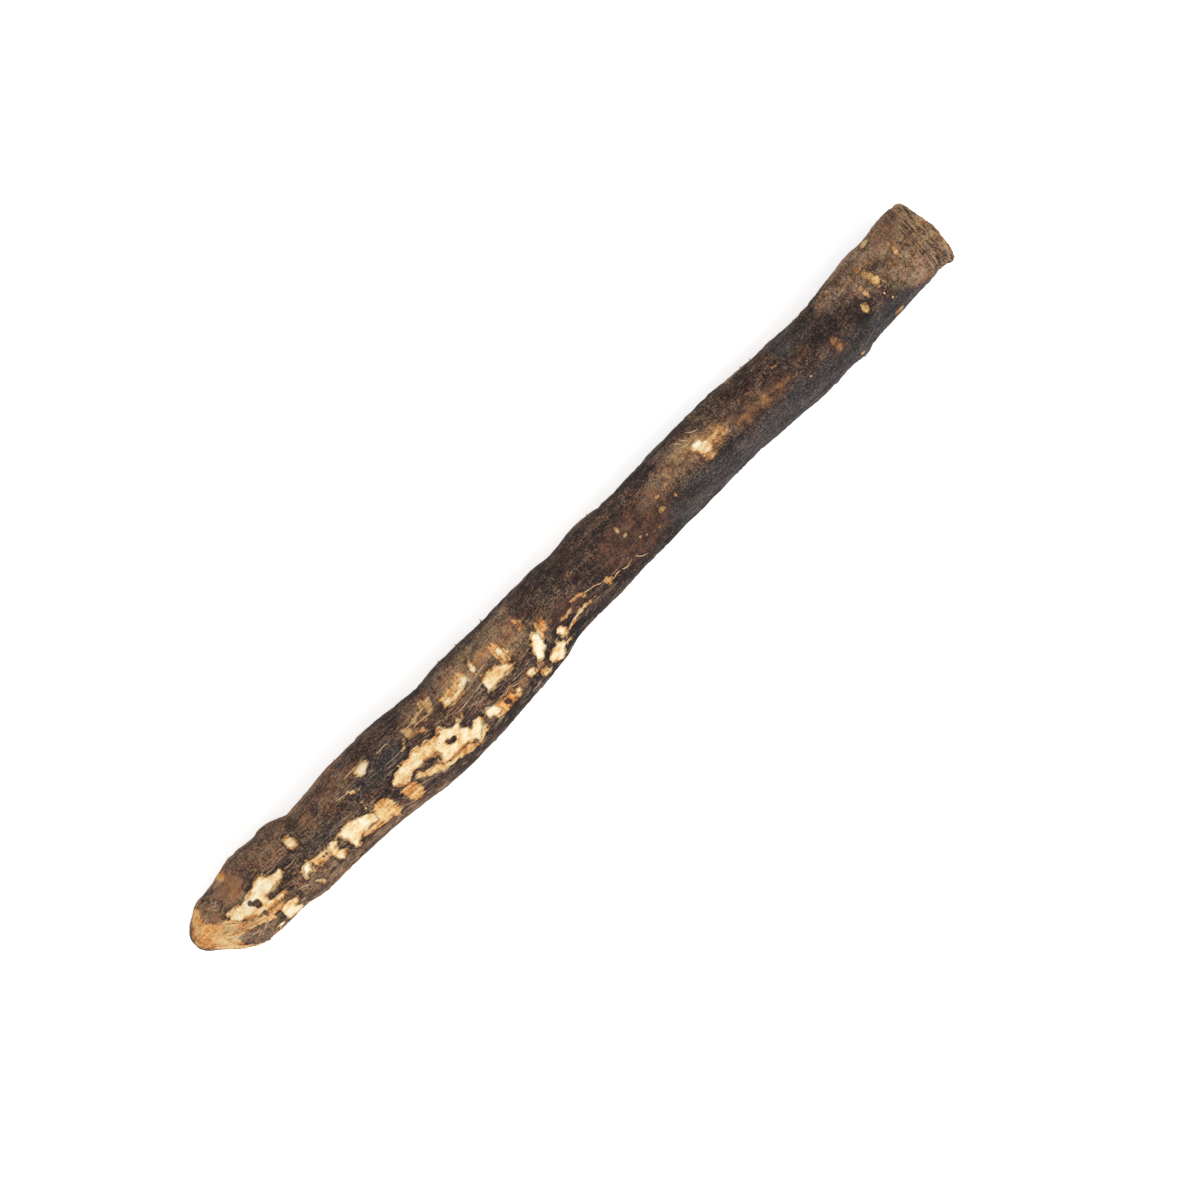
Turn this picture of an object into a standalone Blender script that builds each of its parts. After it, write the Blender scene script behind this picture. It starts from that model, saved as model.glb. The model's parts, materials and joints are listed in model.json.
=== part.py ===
"""A black salsify root, dug, trimmed at the crown and laid on its side: one long taproot in one piece.

It lies along X with its blunt tip at -X and the cut crown at +X. Lengths in this file are in millimetres until
the mesh is made, which is in metres.
"""

import math

import bmesh
import bpy
from mathutils import Vector, noise

MM = 0.001

# Where the root begins and ends, along its length
TIP_AT = -3.8
CUT_AT = 299.8
DOME_LENGTH = 20.0
DOME_FULLNESS = 0.85

# The outline seen from above, as (along, across). Left and right are as seen from the tip, and +across is left
LEFT_SIDE = (
    (-4, 4.4), (0, 4.5), (5, 5.8), (10, 4.9), (15, 5.5), (20, 7.0), (26, 7.0), (31, 6.7), (34, 7.4),
    (38, 6.8), (43, 5.0), (50, 5.7), (58, 6.6), (66, 6.9), (76, 7.2), (88, 6.6), (98, 6.1), (106, 7.0),
    (122, 7.5), (136, 7.8), (146, 8.2), (150.5, 7.6), (158, 8.6), (166, 9.1), (174, 8.6), (190, 9.3),
    (205, 9.9), (217, 10.0), (230, 9.8), (243, 9.2), (256, 9.6), (265, 10.8), (272, 12.0), (278, 12.7),
    (283, 12.6), (291, 13.8), (296, 14.1), (301, 13.6),
)
RIGHT_SIDE = (
    (-4, -13.8), (0, -13.7), (5, -16.4), (10, -18.3), (15, -18.8), (22, -19.2), (30, -19.1), (35, -20.1),
    (45, -19.6), (58, -19.9), (70, -20.3), (82, -21.1), (92, -21.7), (104, -21.2), (116, -20.2),
    (126, -19.1), (132, -18.0), (137, -17.2), (142, -15.6), (150, -14.9), (165, -14.6), (180, -14.0), (192, -13.4),
    (205, -12.9), (218, -12.7), (232, -12.7), (248, -13.2), (258, -12.5), (262, -13.1), (266, -11.9),
    (275, -10.9), (285, -10.3), (291, -10.1), (296, -9.5), (299, -10.4), (301, -10.5),
)

# The outline seen from the side, as (along, height). The underside dips under 0 at its three resting spots
TOP = (
    (-4, 18.0), (5, 20.5), (15, 22.8), (30, 24.6), (43, 24.0), (60, 25.5), (75, 26.3), (95, 26.7), (118, 26.0),
    (135, 24.4), (150, 22.7), (166, 23.6), (185, 22.4), (200, 22.9), (222, 22.2), (240, 21.8), (262, 22.8),
    (280, 23.0), (292, 23.4), (296, 23.3), (299, 24.0), (301, 23.8),
)
UNDERSIDE = (
    (-4, 2.4), (5, 1.2), (15, 0.4), (28, -0.6), (46, -0.7), (60, 0.3), (82, 0.9), (104, 0.5), (120, -0.6),
    (138, -0.7), (152, 0.3), (180, 1.1), (212, 1.0), (236, 0.4), (252, -0.6), (274, -0.7), (288, 0.4),
    (296, 0.9), (299, 0.5), (301, 0.6),
)

# The cut that took the leaves off. It leans back a little under the crown and slants away towards the left
# shoulder, and its face is slightly domed, as (share of the section, how far the face stands out)
CUT_STARTS = 288.0
CUT_LEAN = 0.03
SHOULDER_STARTS = 2.0
SHOULDER_SLANT = 0.22
SHOULDER_DEPTH = 1.3
CUT_FACE = ((0.965, 0.75), (0.86, 0.95), (0.6, 1.25), (0.3, 1.45), (0.0, 1.3))

# The uneven lumps of a grown root: faint lengthwise ribs that turn with it, and swellings
RIB_COUNT = 3
RIB_HEIGHT = 0.13
RIB_TURN_LENGTH = 520.0
SWELLING_HEIGHT = 0.55
SWELLING_LENGTH = 19.0
SWELLINGS_ACROSS = 1.3

# The mesh: rings along the root and points round it
RING_SPACING = 2.15
RINGS_ON_DOME = 12
POINTS_ROUND = 38

SKIN_COLOUR = (0.078, 0.049, 0.034, 1.0)
SKIN_ROUGHNESS = 0.72


def clear_scene():
    for obj in list(bpy.data.objects):
        bpy.data.objects.remove(obj, do_unlink=True)


def slope(profile, index):
    """The profile's slope at one of its own points."""
    before = profile[max(index - 1, 0)]
    after = profile[min(index + 1, len(profile) - 1)]
    return (after[1] - before[1]) / (after[0] - before[0])


def read_profile(profile, along):
    """The profile's value at a place along the root, on a smooth curve through its points."""
    along = min(max(along, profile[0][0]), profile[-1][0])
    index = 0
    while profile[index + 1][0] < along:
        index += 1
    (start, low), (stop, high) = profile[index], profile[index + 1]
    span = stop - start
    t = (along - start) / span
    rise_in = slope(profile, index) * span
    rise_out = slope(profile, index + 1) * span
    return (
        low * (1 + 2 * t) * (1 - t) ** 2
        + rise_in * t * (1 - t) ** 2
        + high * t * t * (3 - 2 * t)
        + rise_out * t * t * (t - 1)
    )


def lumps(along, around):
    """How far the skin stands out or in from the smooth section, in millimetres."""
    rib = RIB_HEIGHT * math.cos(RIB_COUNT * (around + math.tau * along / RIB_TURN_LENGTH))
    place = Vector((
        along / SWELLING_LENGTH,
        math.cos(around) * SWELLINGS_ACROSS,
        math.sin(around) * SWELLINGS_ACROSS,
    ))
    return rib + SWELLING_HEIGHT * noise.noise(place)


def root_point(along, spread, stand_out, around):
    """A point of the root's surface in millimetres.

    Spread is 1 on the flank and falls to 0 at the middle of an end. Around is 0 on top and grows to the left.
    """
    left, right = read_profile(LEFT_SIDE, along), read_profile(RIGHT_SIDE, along)
    top, underside = read_profile(TOP, along), read_profile(UNDERSIDE, along)
    half_width, half_height = (left - right) / 2, (top - underside) / 2
    lump = lumps(along, around) * spread
    across = (left + right) / 2 + (half_width * spread + lump) * math.sin(around)
    rise = (half_height * spread + lump) * math.cos(around)
    height = max((top + underside) / 2 + rise, 0.0)
    near_cut = min(max((along - CUT_STARTS) / (CUT_AT - CUT_STARTS), 0.0), 1.0)
    shoulder = min(max(across - SHOULDER_STARTS, 0.0) * SHOULDER_SLANT, SHOULDER_DEPTH)
    slant = CUT_LEAN * rise - shoulder
    return Vector((along + stand_out + slant * near_cut, across, height))


def ring_stations():
    """Each ring of the mesh from tip to crown, as (along, spread, stand_out)."""
    stations = []
    for step in range(RINGS_ON_DOME):
        angle = math.pi / 2 * step / RINGS_ON_DOME
        along = TIP_AT + DOME_LENGTH * (1 - math.cos(angle))
        stations.append((along, math.sin(angle) ** DOME_FULLNESS, 0.0))
    body_start = TIP_AT + DOME_LENGTH
    body_rings = round((CUT_AT - body_start) / RING_SPACING)
    for step in range(body_rings + 1):
        stations.append((body_start + (CUT_AT - body_start) * step / body_rings, 1.0, 0.0))
    for share, stand_out in CUT_FACE:
        stations.append((CUT_AT, share, stand_out))
    return stations


def root_mesh():
    """A flat grid rolled into the root: its rows become rings, and its first and last rows close to a point."""
    stations = ring_stations()
    bm = bmesh.new()
    bmesh.ops.create_grid(bm, x_segments=len(stations) - 1, y_segments=POINTS_ROUND, size=0.5)
    for vert in bm.verts:
        ring = round((vert.co.x + 0.5) * (len(stations) - 1))
        place = round((vert.co.y + 0.5) * POINTS_ROUND) % POINTS_ROUND
        vert.co = root_point(*stations[ring], math.tau * place / POINTS_ROUND)
    bmesh.ops.remove_doubles(bm, verts=bm.verts, dist=0.0001)
    bmesh.ops.recalc_face_normals(bm, faces=bm.faces)
    centre_on_base(bm)
    mesh = bpy.data.meshes.new("salsify_root")
    bm.to_mesh(mesh)
    bm.free()
    return mesh


def centre_on_base(bm):
    """Puts the origin under the middle of the root's box, on the surface that it lies on, and turns to metres."""
    low = [min(vert.co[axis] for vert in bm.verts) for axis in (0, 1)]
    high = [max(vert.co[axis] for vert in bm.verts) for axis in (0, 1)]
    middle = Vector(((low[0] + high[0]) / 2, (low[1] + high[1]) / 2, 0.0))
    for vert in bm.verts:
        vert.co = (vert.co - middle) * MM


def skin_material():
    material = bpy.data.materials.new("root_skin")
    material.use_nodes = True
    shader = material.node_tree.nodes["Principled BSDF"]
    shader.inputs["Base Color"].default_value = SKIN_COLOUR
    shader.inputs["Roughness"].default_value = SKIN_ROUGHNESS
    shader.inputs["Metallic"].default_value = 0.0
    return material


def main():
    clear_scene()
    root = bpy.data.objects.new("salsify_root", root_mesh())
    bpy.context.scene.collection.objects.link(root)
    root.data.materials.append(skin_material())
    root.data.shade_smooth()
    root.data.set_sharp_from_angle(angle=math.radians(40))


main()
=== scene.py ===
"""A black salsify root lying on a white surface, seen from straight above.

The root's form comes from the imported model. This script gives it its wrinkled skin, the flesh where the skin
is scraped off, the cut crown, and the threads, hair roots, flakes and crumbs that cling to it.
"""

import json
import math
import random

import bmesh
import bpy
import numpy as np
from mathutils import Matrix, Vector, noise
from mathutils.bvhtree import BVHTree

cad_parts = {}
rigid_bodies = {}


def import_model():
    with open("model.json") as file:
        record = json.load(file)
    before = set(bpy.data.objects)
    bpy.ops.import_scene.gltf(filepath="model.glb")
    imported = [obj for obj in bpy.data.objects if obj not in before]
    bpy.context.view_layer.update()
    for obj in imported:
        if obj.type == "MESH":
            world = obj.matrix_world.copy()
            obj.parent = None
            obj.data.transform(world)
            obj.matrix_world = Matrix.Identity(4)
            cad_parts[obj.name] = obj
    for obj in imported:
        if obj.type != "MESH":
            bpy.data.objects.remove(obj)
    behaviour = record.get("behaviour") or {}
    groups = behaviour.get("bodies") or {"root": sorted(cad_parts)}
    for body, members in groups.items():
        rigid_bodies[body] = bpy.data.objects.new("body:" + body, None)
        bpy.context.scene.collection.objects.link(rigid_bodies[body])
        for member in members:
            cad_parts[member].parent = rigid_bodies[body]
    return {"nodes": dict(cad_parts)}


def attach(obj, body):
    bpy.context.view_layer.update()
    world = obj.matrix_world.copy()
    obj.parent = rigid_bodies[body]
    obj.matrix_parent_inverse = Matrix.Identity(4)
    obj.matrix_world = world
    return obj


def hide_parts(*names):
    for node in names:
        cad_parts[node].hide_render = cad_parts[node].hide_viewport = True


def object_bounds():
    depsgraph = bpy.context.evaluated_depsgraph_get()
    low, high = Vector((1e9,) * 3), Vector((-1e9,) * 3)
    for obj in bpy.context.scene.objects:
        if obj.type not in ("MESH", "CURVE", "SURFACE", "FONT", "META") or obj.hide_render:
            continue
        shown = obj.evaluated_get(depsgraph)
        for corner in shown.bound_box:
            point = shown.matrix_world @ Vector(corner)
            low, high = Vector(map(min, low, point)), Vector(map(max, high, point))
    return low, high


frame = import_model()
cad_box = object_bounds()
scene = bpy.context.scene


# The camera
# It hangs straight over the root and looks down, turned so that the root runs slantwise across a square view,
# from its tip at the lower left to its crown at the upper right.
VIEW_WIDTH = 0.3566
VIEW_HEIGHT_ABOVE_ROOT = 1.1
VIEW_CENTRE = (0.0055, -0.00826)
VIEW_TURN = math.radians(-43.1)
SENSOR_WIDTH = 36.0
ROOT_MIDDLE_HEIGHT = 0.012


def new_object(name, data):
    """An object in the scene, unturned and at the origin."""
    thing = bpy.data.objects.new(name, data)
    scene.collection.objects.link(thing)
    return thing


camera = new_object("camera", bpy.data.cameras.new("camera"))
camera.data.sensor_width = SENSOR_WIDTH
camera.data.lens = SENSOR_WIDTH * VIEW_HEIGHT_ABOVE_ROOT / VIEW_WIDTH
camera.location = (*VIEW_CENTRE, ROOT_MIDDLE_HEIGHT + VIEW_HEIGHT_ABOVE_ROOT)
camera.rotation_euler = (0.0, 0.0, VIEW_TURN)
scene.camera = camera


# The light
# A white room with one broad soft lamp to the right of the view. The lamp leaves the root's left flank a
# little darker than its right.
ROOM_BRIGHTNESS = 0.86
LAMP_STRENGTH = 1.4
LAMP_BREADTH = math.radians(42)
LAMP_ELEVATION = math.radians(48)
LAMP_BEARING = VIEW_TURN + math.radians(-12)
WHITE = (1.0, 1.0, 1.0, 1.0)

scene.view_settings.view_transform = "Standard"
room = bpy.data.worlds.new("white_room")
room.use_nodes = True
room.node_tree.nodes["Background"].inputs["Color"].default_value = WHITE
room.node_tree.nodes["Background"].inputs["Strength"].default_value = ROOM_BRIGHTNESS
scene.world = room

lamp = new_object("lamp", bpy.data.lights.new("lamp", "SUN"))
lamp.data.energy = LAMP_STRENGTH
lamp.data.angle = LAMP_BREADTH
towards_lamp = Vector((
    math.cos(LAMP_ELEVATION) * math.cos(LAMP_BEARING),
    math.cos(LAMP_ELEVATION) * math.sin(LAMP_BEARING),
    math.sin(LAMP_ELEVATION),
))
lamp.rotation_euler = towards_lamp.to_track_quat("Z", "Y").to_euler()


# The surface under the root
# A plain white sheet, only there to lie on. The camera sees it a little over-exposed, so that it stays white
# up to the root.
FLOOR_SIZE = 4.0
FLOOR_COLOUR = (0.95, 0.95, 0.95, 1.0)
OVER_EXPOSURE = 0.42


def put(tree, kind, inputs, **settings):
    """Adds a node to a material or group, and gives each input its value or the output that feeds it."""
    node = tree.nodes.new(kind)
    for name, value in settings.items():
        setattr(node, name, value)
    for socket, value in inputs.items():
        if isinstance(value, bpy.types.NodeSocket):
            tree.links.new(value, node.inputs[socket])
        else:
            node.inputs[socket].default_value = value
    return node


def calc(tree, operation, *values):
    """The result of a sum on one to three values."""
    return put(tree, "ShaderNodeMath", dict(enumerate(values)), operation=operation).outputs[0]


def new_material(name, finish):
    """A material with one shader, whose even values are set on the shader itself."""
    material = bpy.data.materials.new(name)
    material.use_nodes = True
    shader = material.node_tree.nodes["Principled BSDF"]
    for socket, value in finish.items():
        shader.inputs[socket].default_value = value
    return material, material.node_tree, shader


def mesh_from(bm, name):
    """The mesh that was built in a bmesh, which is then done with."""
    mesh = bpy.data.meshes.new(name)
    bm.to_mesh(mesh)
    bm.free()
    return mesh


bm = bmesh.new()
bmesh.ops.create_grid(bm, x_segments=1, y_segments=1, size=FLOOR_SIZE / 2)
floor = new_object("floor", mesh_from(bm, "floor"))
sheet, tree, shader = new_material("white_sheet", {
    "Base Color": FLOOR_COLOUR, "Roughness": 1.0, "Specular IOR Level": 0.0, "Emission Color": WHITE,
})
seen_directly = put(tree, "ShaderNodeLightPath", {}).outputs["Is Camera Ray"]
lift = calc(tree, "MULTIPLY", seen_directly, OVER_EXPOSURE)
tree.links.new(lift, shader.inputs["Emission Strength"])
floor.data.materials.append(sheet)


# The root
# One taproot: dark corky skin over pale flesh, grown in one piece and cut square at the crown. Its form is
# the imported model's own, made fine, then wrinkled, ringed and scraped. Places on it are in millimetres, as
# (along, across) from tip to crown as it is seen from above, with across growing to the root's left.
MM = 0.001
TIP_ALONG = -3.8
RIGHTMOST_ACROSS = -21.85
ALONG_AT_ORIGIN = TIP_ALONG - cad_box[0].x / MM
ACROSS_AT_ORIGIN = RIGHTMOST_ACROSS - cad_box[0].y / MM
FINENESS = 2
MERGE_WITHIN = 0.01
CUT_STARTS = 296.0
CUT_CREASE = 0.7
SHARP_FROM = math.radians(22)

# Outlines of the patches where the skin is scraped off down to the cream flesh
SCRAPED = (
    ((8.7, -4.4), (10.7, -4.2), (12.9, -4.7), (15.5, -5.1), (18.1, -4.8), (20, -4.2), (21.6, -2.9),
     (24, -2.4), (25.5, -4), (26.8, -5.1), (29.8, -5.4), (30.8, -6.4), (29.8, -7.9), (26.8, -8.1),
     (24.2, -8.6), (22, -8.8), (21.8, -10.1), (23.3, -11), (26.3, -10.7), (28.1, -11.4), (26.8, -12.4),
     (24.2, -12.6), (19.8, -12.4), (16.3, -11.4), (12.9, -9.9), (10.7, -8.6), (9.4, -7)),
    ((22, -15.1), (23.3, -13.9), (25.9, -14.1), (28.8, -15), (28.2, -16.2), (26.2, -16.8), (28.4, -17.8),
     (27, -18.7), (22.6, -18.7), (21.9, -17)),
    ((17.8, -17.6), (20.4, -17.5), (20.8, -18.6), (18.4, -18.6)),
    ((36.4, -1), (37.6, 0.6), (38.8, -0.2), (39.4, -1.8), (39.3, -4.4), (36.8, -4.4), (36.3, -2.6)),
    ((33.3, -13), (34.6, -11.2), (36, -9.6), (37.5, -9.2), (38.2, -10.2), (37.3, -11.6), (37.6, -12.4),
     (35.5, -12.3), (34.5, -13.2)),
    ((44.2, -10.7), (45.9, -10.1), (48.5, -10.1), (48.7, -11.6), (47.2, -12.2), (46.9, -13.5), (49, -14.4),
     (48.5, -15.4), (46.3, -16.8), (45.3, -16), (44.4, -13.1)),
    ((35.5, -15.3), (36.5, -15.5), (38, -17), (37.2, -17.4), (35.8, -16.3)),
    ((49.6, -10), (51.3, -9.3), (55.2, -9.3), (57.8, -10.3), (60.4, -11.2), (62.4, -12), (61.8, -15),
     (58.5, -14.5), (55.5, -14.8), (53.5, -15.6), (52.6, -16.9), (51.3, -16.3), (50.9, -13), (49.8, -11.8)),
    ((65.4, 0.3), (66.5, 1), (68.7, 0.8), (70, 1), (71.3, -0.1), (70, -1.2), (68.7, -1.8), (67.4, -2.3),
     (66.3, -1.8), (65.7, -0.5)),
    ((83.3, -3.1), (82, -3.6), (81.1, -4.2), (82, -5), (83, -4)),
    ((71.8, -9.7), (74.3, -8.3), (77, -7.7), (78.7, -6.9), (80.4, -7.3), (83, -6.9), (86.1, -7.3), (90, -8),
     (92.2, -7.3), (93.9, -8.1), (95.7, -9.3), (98, -9.5), (101.3, -9.2), (100.9, -10), (98.8, -10.5),
     (98, -11.7), (99.6, -12.5), (100.4, -14), (102.2, -12.7), (104.8, -12.9), (105.2, -13.8), (103.5, -15.3),
     (101.3, -17.5), (100, -18.3), (98.7, -17), (95.7, -16.6), (91.7, -16.8), (89.1, -16.6), (87.4, -16),
     (86.1, -14.6), (88.3, -14.4), (88.3, -12.6), (87.8, -12), (82.6, -12), (78, -11.7), (77.3, -12.8),
     (76, -13.6), (74.3, -12.8), (73, -11.6), (71.8, -10.6)),
    ((99, -2.6), (101, -2.4), (104, -2.6), (107, -1.2), (109.5, -0.3), (110.3, -2), (107.8, -3.4),
     (105.5, -4.5), (102, -4.9), (99, -4.2)),
    ((111.5, -1.8), (112.2, 0), (113, 1), (113.7, -0.4), (113.7, -1.8), (112.3, -2.9)),
    ((112.1, -6), (113.2, -5), (115.8, -4.7), (118.4, -4.9), (119.5, -6.2), (121, -6.8), (123, -8.3),
     (121.9, -9), (118.9, -9), (115.8, -9.4), (113.2, -9.9), (111.5, -9.4), (111.9, -7.5)),
    ((120.8, -1.8), (121.9, -1.4), (122.9, -1.9), (123, -4.4), (122.3, -6.8), (121, -6.6), (120.5, -4.4)),
    ((106.1, -14), (107.6, -12.3), (109.6, -13.3), (111.3, -15.1), (111.6, -16.4), (109.6, -16.8),
     (107.8, -16.2), (106.5, -15.4)),
    ((117.4, -14.3), (119.2, -14.6), (119.4, -16), (118, -16.2)),
    ((123.4, -13.3), (125.4, -12.9), (126.3, -14), (125.8, -15.3), (123.7, -15.1)),
    ((128.2, -15.6), (129.6, -15.5), (130.3, -16.3), (129.4, -17.1), (128.2, -16.8)),
    ((131.3, -6.2), (132.8, -5.7), (134.1, -6.8), (133.9, -8.8), (133.4, -11.4), (132.1, -11.8),
     (130.6, -13.3), (128.7, -12.7), (128.9, -11), (129.7, -9.2), (130, -7.7), (131, -7.5)),
    ((137.8, -10.5), (139, -9.7), (140.7, -9.6), (141.3, -11), (141.1, -13), (140, -13), (138.6, -12.3)),
    ((131, -14.7), (133.2, -13.8), (135, -13.3), (136.5, -12.5), (138, -13.6), (138.4, -14.4), (141, -14.2),
     (140.2, -14.9), (137.1, -15.1), (136.5, -16.6), (134.5, -17.4), (132.3, -16.8), (131.3, -15.7)),
    ((204.8, 1.6), (205.6, 2.9), (207.4, 3.2), (208.8, 2.5), (208.7, 1.3), (209.6, 1.6), (210.6, 0.6),
     (210.4, -1.5), (209, -2.5), (207, -2.4), (205.7, -1.2), (204.9, 0.4)),
)

# Outlines where only the outer skin is gone, so that it shows orange and tan
THIN = (
    ((-6, 9), (-1, 8), (3.4, 4.2), (4.2, 2.4), (3, 0), (3, -2.5), (5, -4.8), (8.6, -5.4), (12, -10),
     (16, -12), (21, -12.6), (26, -12.6), (24, -14), (20, -15.4), (14.6, -13.8), (10.4, -12), (7, -12.2),
     (7.4, -14.8), (9.8, -18), (4, -18), (-6, -14)),
    ((38.3, -9.9), (39.8, -9.7), (42.4, -10.1), (44.6, -10.4), (44.4, -12.8), (42, -12.9), (39.8, -13.1),
     (38.8, -11.8)),
    ((60.7, -11.6), (62.6, -11), (65.2, -10.5), (67.4, -11.4), (68.7, -13.1), (68.5, -14.9), (69.1, -17.5),
     (67.4, -18.1), (66.1, -17), (58.7, -16.4), (54.8, -15.9), (54.8, -14.6), (60.4, -15)),
    ((60.2, -2.5), (61.7, -2.9), (63.9, -4.9), (61.7, -4.4), (60.4, -3.6)),
    ((72, -13.2), (74.2, -12.9), (76.4, -13.2), (77.8, -14.4), (78.1, -16.2), (77.2, -18.2), (75.6, -19),
     (73.4, -18.2), (72.4, -15.8)),
    ((77.8, -12.9), (80.4, -13.3), (82.2, -14.4), (84.8, -14.7), (87.4, -16), (91.7, -16.6), (96, -16.6),
     (100, -18.2), (103.5, -15.3), (105, -16.4), (100.4, -19.3), (92, -18.2), (86, -17.4), (82, -15.6),
     (79, -14.3)),
    ((93.7, 2), (95.4, 2.3), (97.2, 1.2), (96.8, -0.9), (95.8, -2.4), (94.2, -2.4), (93.9, -0.1)),
    ((88.2, -0.3), (91, 0.2), (94, 0.6), (94, -0.4), (91, -0.8), (88.4, -1.4)),
    ((89.2, -1.7), (92, -1.5), (94, -1.9), (93.4, -2.7), (90.4, -2.6)),
    ((88.2, -3.7), (90.4, -3.5), (90.9, -5.2), (88.8, -5.7)),
    ((99.1, -0.4), (100.4, -1.4), (102.6, 0), (104.8, -1), (106.5, 0.2), (108.3, 0.8), (110, -0.6),
     (110.3, -2.3), (107.8, -3.4), (105.7, -4.5), (102.6, -4.9), (100.4, -4.4), (98.7, -4), (99, -1.6)),
    ((111.2, -1.8), (111.9, 0.8), (113, 2.6), (113.9, 0.8), (113.9, -1.9), (112.3, -3.1)),
    ((106.1, -14), (109.6, -13.3), (112.8, -14.2), (115, -13.2), (117.1, -13.9), (118.8, -15.2), (118, -16.6),
     (114.5, -17.4), (110, -17.5), (107.8, -17)),
    ((134.4, -4), (135.6, -3.8), (135.2, -6.4), (134.7, -9), (134, -9.2)),
    ((136.4, -3.6), (138.2, -4.2), (137.6, -5.6), (136.8, -7.4), (135.9, -7.2)),
    ((120.3, 0.2), (123.4, 0.2), (123.6, -5), (121.8, -7.2), (119.9, -4)),
    ((126.7, -15.5), (128.4, -14.9), (130.6, -16), (129.9, -17.8), (127.1, -17.8)),
    ((131.2, 0.8), (132.7, 0.6), (132.5, -2.6), (131, -2.2)),
    ((141.5, -8.7), (145, -8.2), (146.5, -7.5), (145.9, -9), (143.5, -9.6)),
    ((147.1, -6.6), (149.7, -6), (151.7, -6.8), (152.3, -8.4), (151, -8.2), (149.6, -7.1), (147.6, -7.4)),
    ((141.3, -12.4), (144.5, -11.2), (147.1, -10.7), (150.6, -10.3), (154.3, -10.9), (150, -11.4),
     (146, -11.6), (142, -12.9)),
    ((158.4, -8.7), (159.7, -8.3), (162, -10.1), (160.3, -11.2), (158.8, -10.2)),
    ((14.2, 5), (15.2, 6.3), (17, 5.9), (16.8, 4.6), (15, 3.9)),
    ((84.2, -0.3), (85.8, -0.1), (87.2, -1), (87, -3.5), (84.6, -3.8)),
    ((99.6, -9.3), (101.4, -9), (101.2, -10), (99.8, -10.2)),
)

# Raised scars of side roots, as (along, across, half their length, half their breadth, how pale)
SCARS = (
    (172, -0.5, 0.7, 1.3, 0.8), (172.9, -3.1, 0.8, 0.6, 0.8), (187.6, -1.4, 0.9, 0.6, 0.6),
    (186.1, -5, 1.3, 0.9, 0.7), (192, -4.6, 0.5, 1.2, 0.5), (231, -1.9, 1.7, 1.6, 0.3),
    (237.9, -2, 3, 1.2, 0.2), (226.4, 1.8, 1.3, 1, 0.1), (239.6, 3.2, 1.6, 0.5, 0.5),
    (245.5, -6.2, 0.5, 0.4, 0.8), (257.6, -4.6, 1.5, 2.5, 0.37), (271.2, -2.6, 1.3, 1.9, 0.7),
    (274.3, 0.8, 0.8, 2.4, 0.6), (277.1, 7.1, 1.1, 1.5, 0.4), (277.8, 4.4, 1.4, 1.7, 0.4),
    (278.8, 2, 1.5, 2.9, 0.7), (284, 11.4, 2, 1.5, 0.9), (289.2, 4.4, 0.8, 3.1, 0.5),
    (277.9, -10, 2, 1.1, 0.6), (279.3, -5.8, 0.5, 0.6, 0.8), (278.3, -3.4, 0.4, 0.4, 0.8),
    (266, 8.2, 0.6, 1.2, 0.2), (286, 1.2, 1.6, 1.2, 0.2), (280.8, -0.2, 0.8, 0.6, 0.5),
    (281.6, 6.2, 0.6, 1.3, 0.1), (61.5, -7.5, 0.6, 0.5, 0.9), (61.2, -9.7, 0.5, 0.4, 0.9),
    (176, -6.6, 0.6, 0.4, 0.9), (177.7, -7.5, 0.5, 0.4, 0.8), (182, -8.3, 0.5, 0.5, 0.6),
    (213.1, -12.3, 0.9, 0.4, 0.8), (208.3, -3.2, 2.9, 1.2, 0.45), (212.8, -0.2, 4.6, 2.9, 0.38),
    (222.4, -1.8, 3, 1.7, 0.02), (261.6, -11.6, 1.1, 0.9, 0.5),
)

# Outlines of dark holes and strips of skin left standing inside the scraped patches
LEFT_DARK = (
    ((15.9, -6.3), (17.3, -6.2), (17.5, -7.2), (19.3, -7.4), (19.5, -8.8), (18.8, -10), (17.5, -9.7),
     (17, -8.3), (15.9, -7.3)),
    ((19.8, -14.2), (22, -14.2), (22.2, -17.4), (20.4, -17.6)),
    ((41.9, -11.3), (42.8, -11.4), (42.7, -12.1), (41.9, -12)),
    ((38.2, -10.9), (39, -11), (38.9, -11.7), (38.2, -11.6)),
    ((91.7, -11.7), (92.7, -11.3), (93.5, -11.9), (94.7, -11.8), (95.5, -12.3), (95, -13.3), (93.6, -13.6),
     (92.2, -13)),
    ((21.8, -9.4), (24, -9), (27, -8.9), (31.5, -8.4), (31.5, -10.2), (27, -10.4), (24, -10.7), (22, -10.5)),
    ((91, -8.2), (92.3, -8.2), (92, -8.9), (91.1, -8.8)),
    ((113, -14.4), (114.1, -14.7), (114.9, -15.6), (114.5, -16.7), (113.4, -16.4), (112.7, -15.5)),
)

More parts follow.
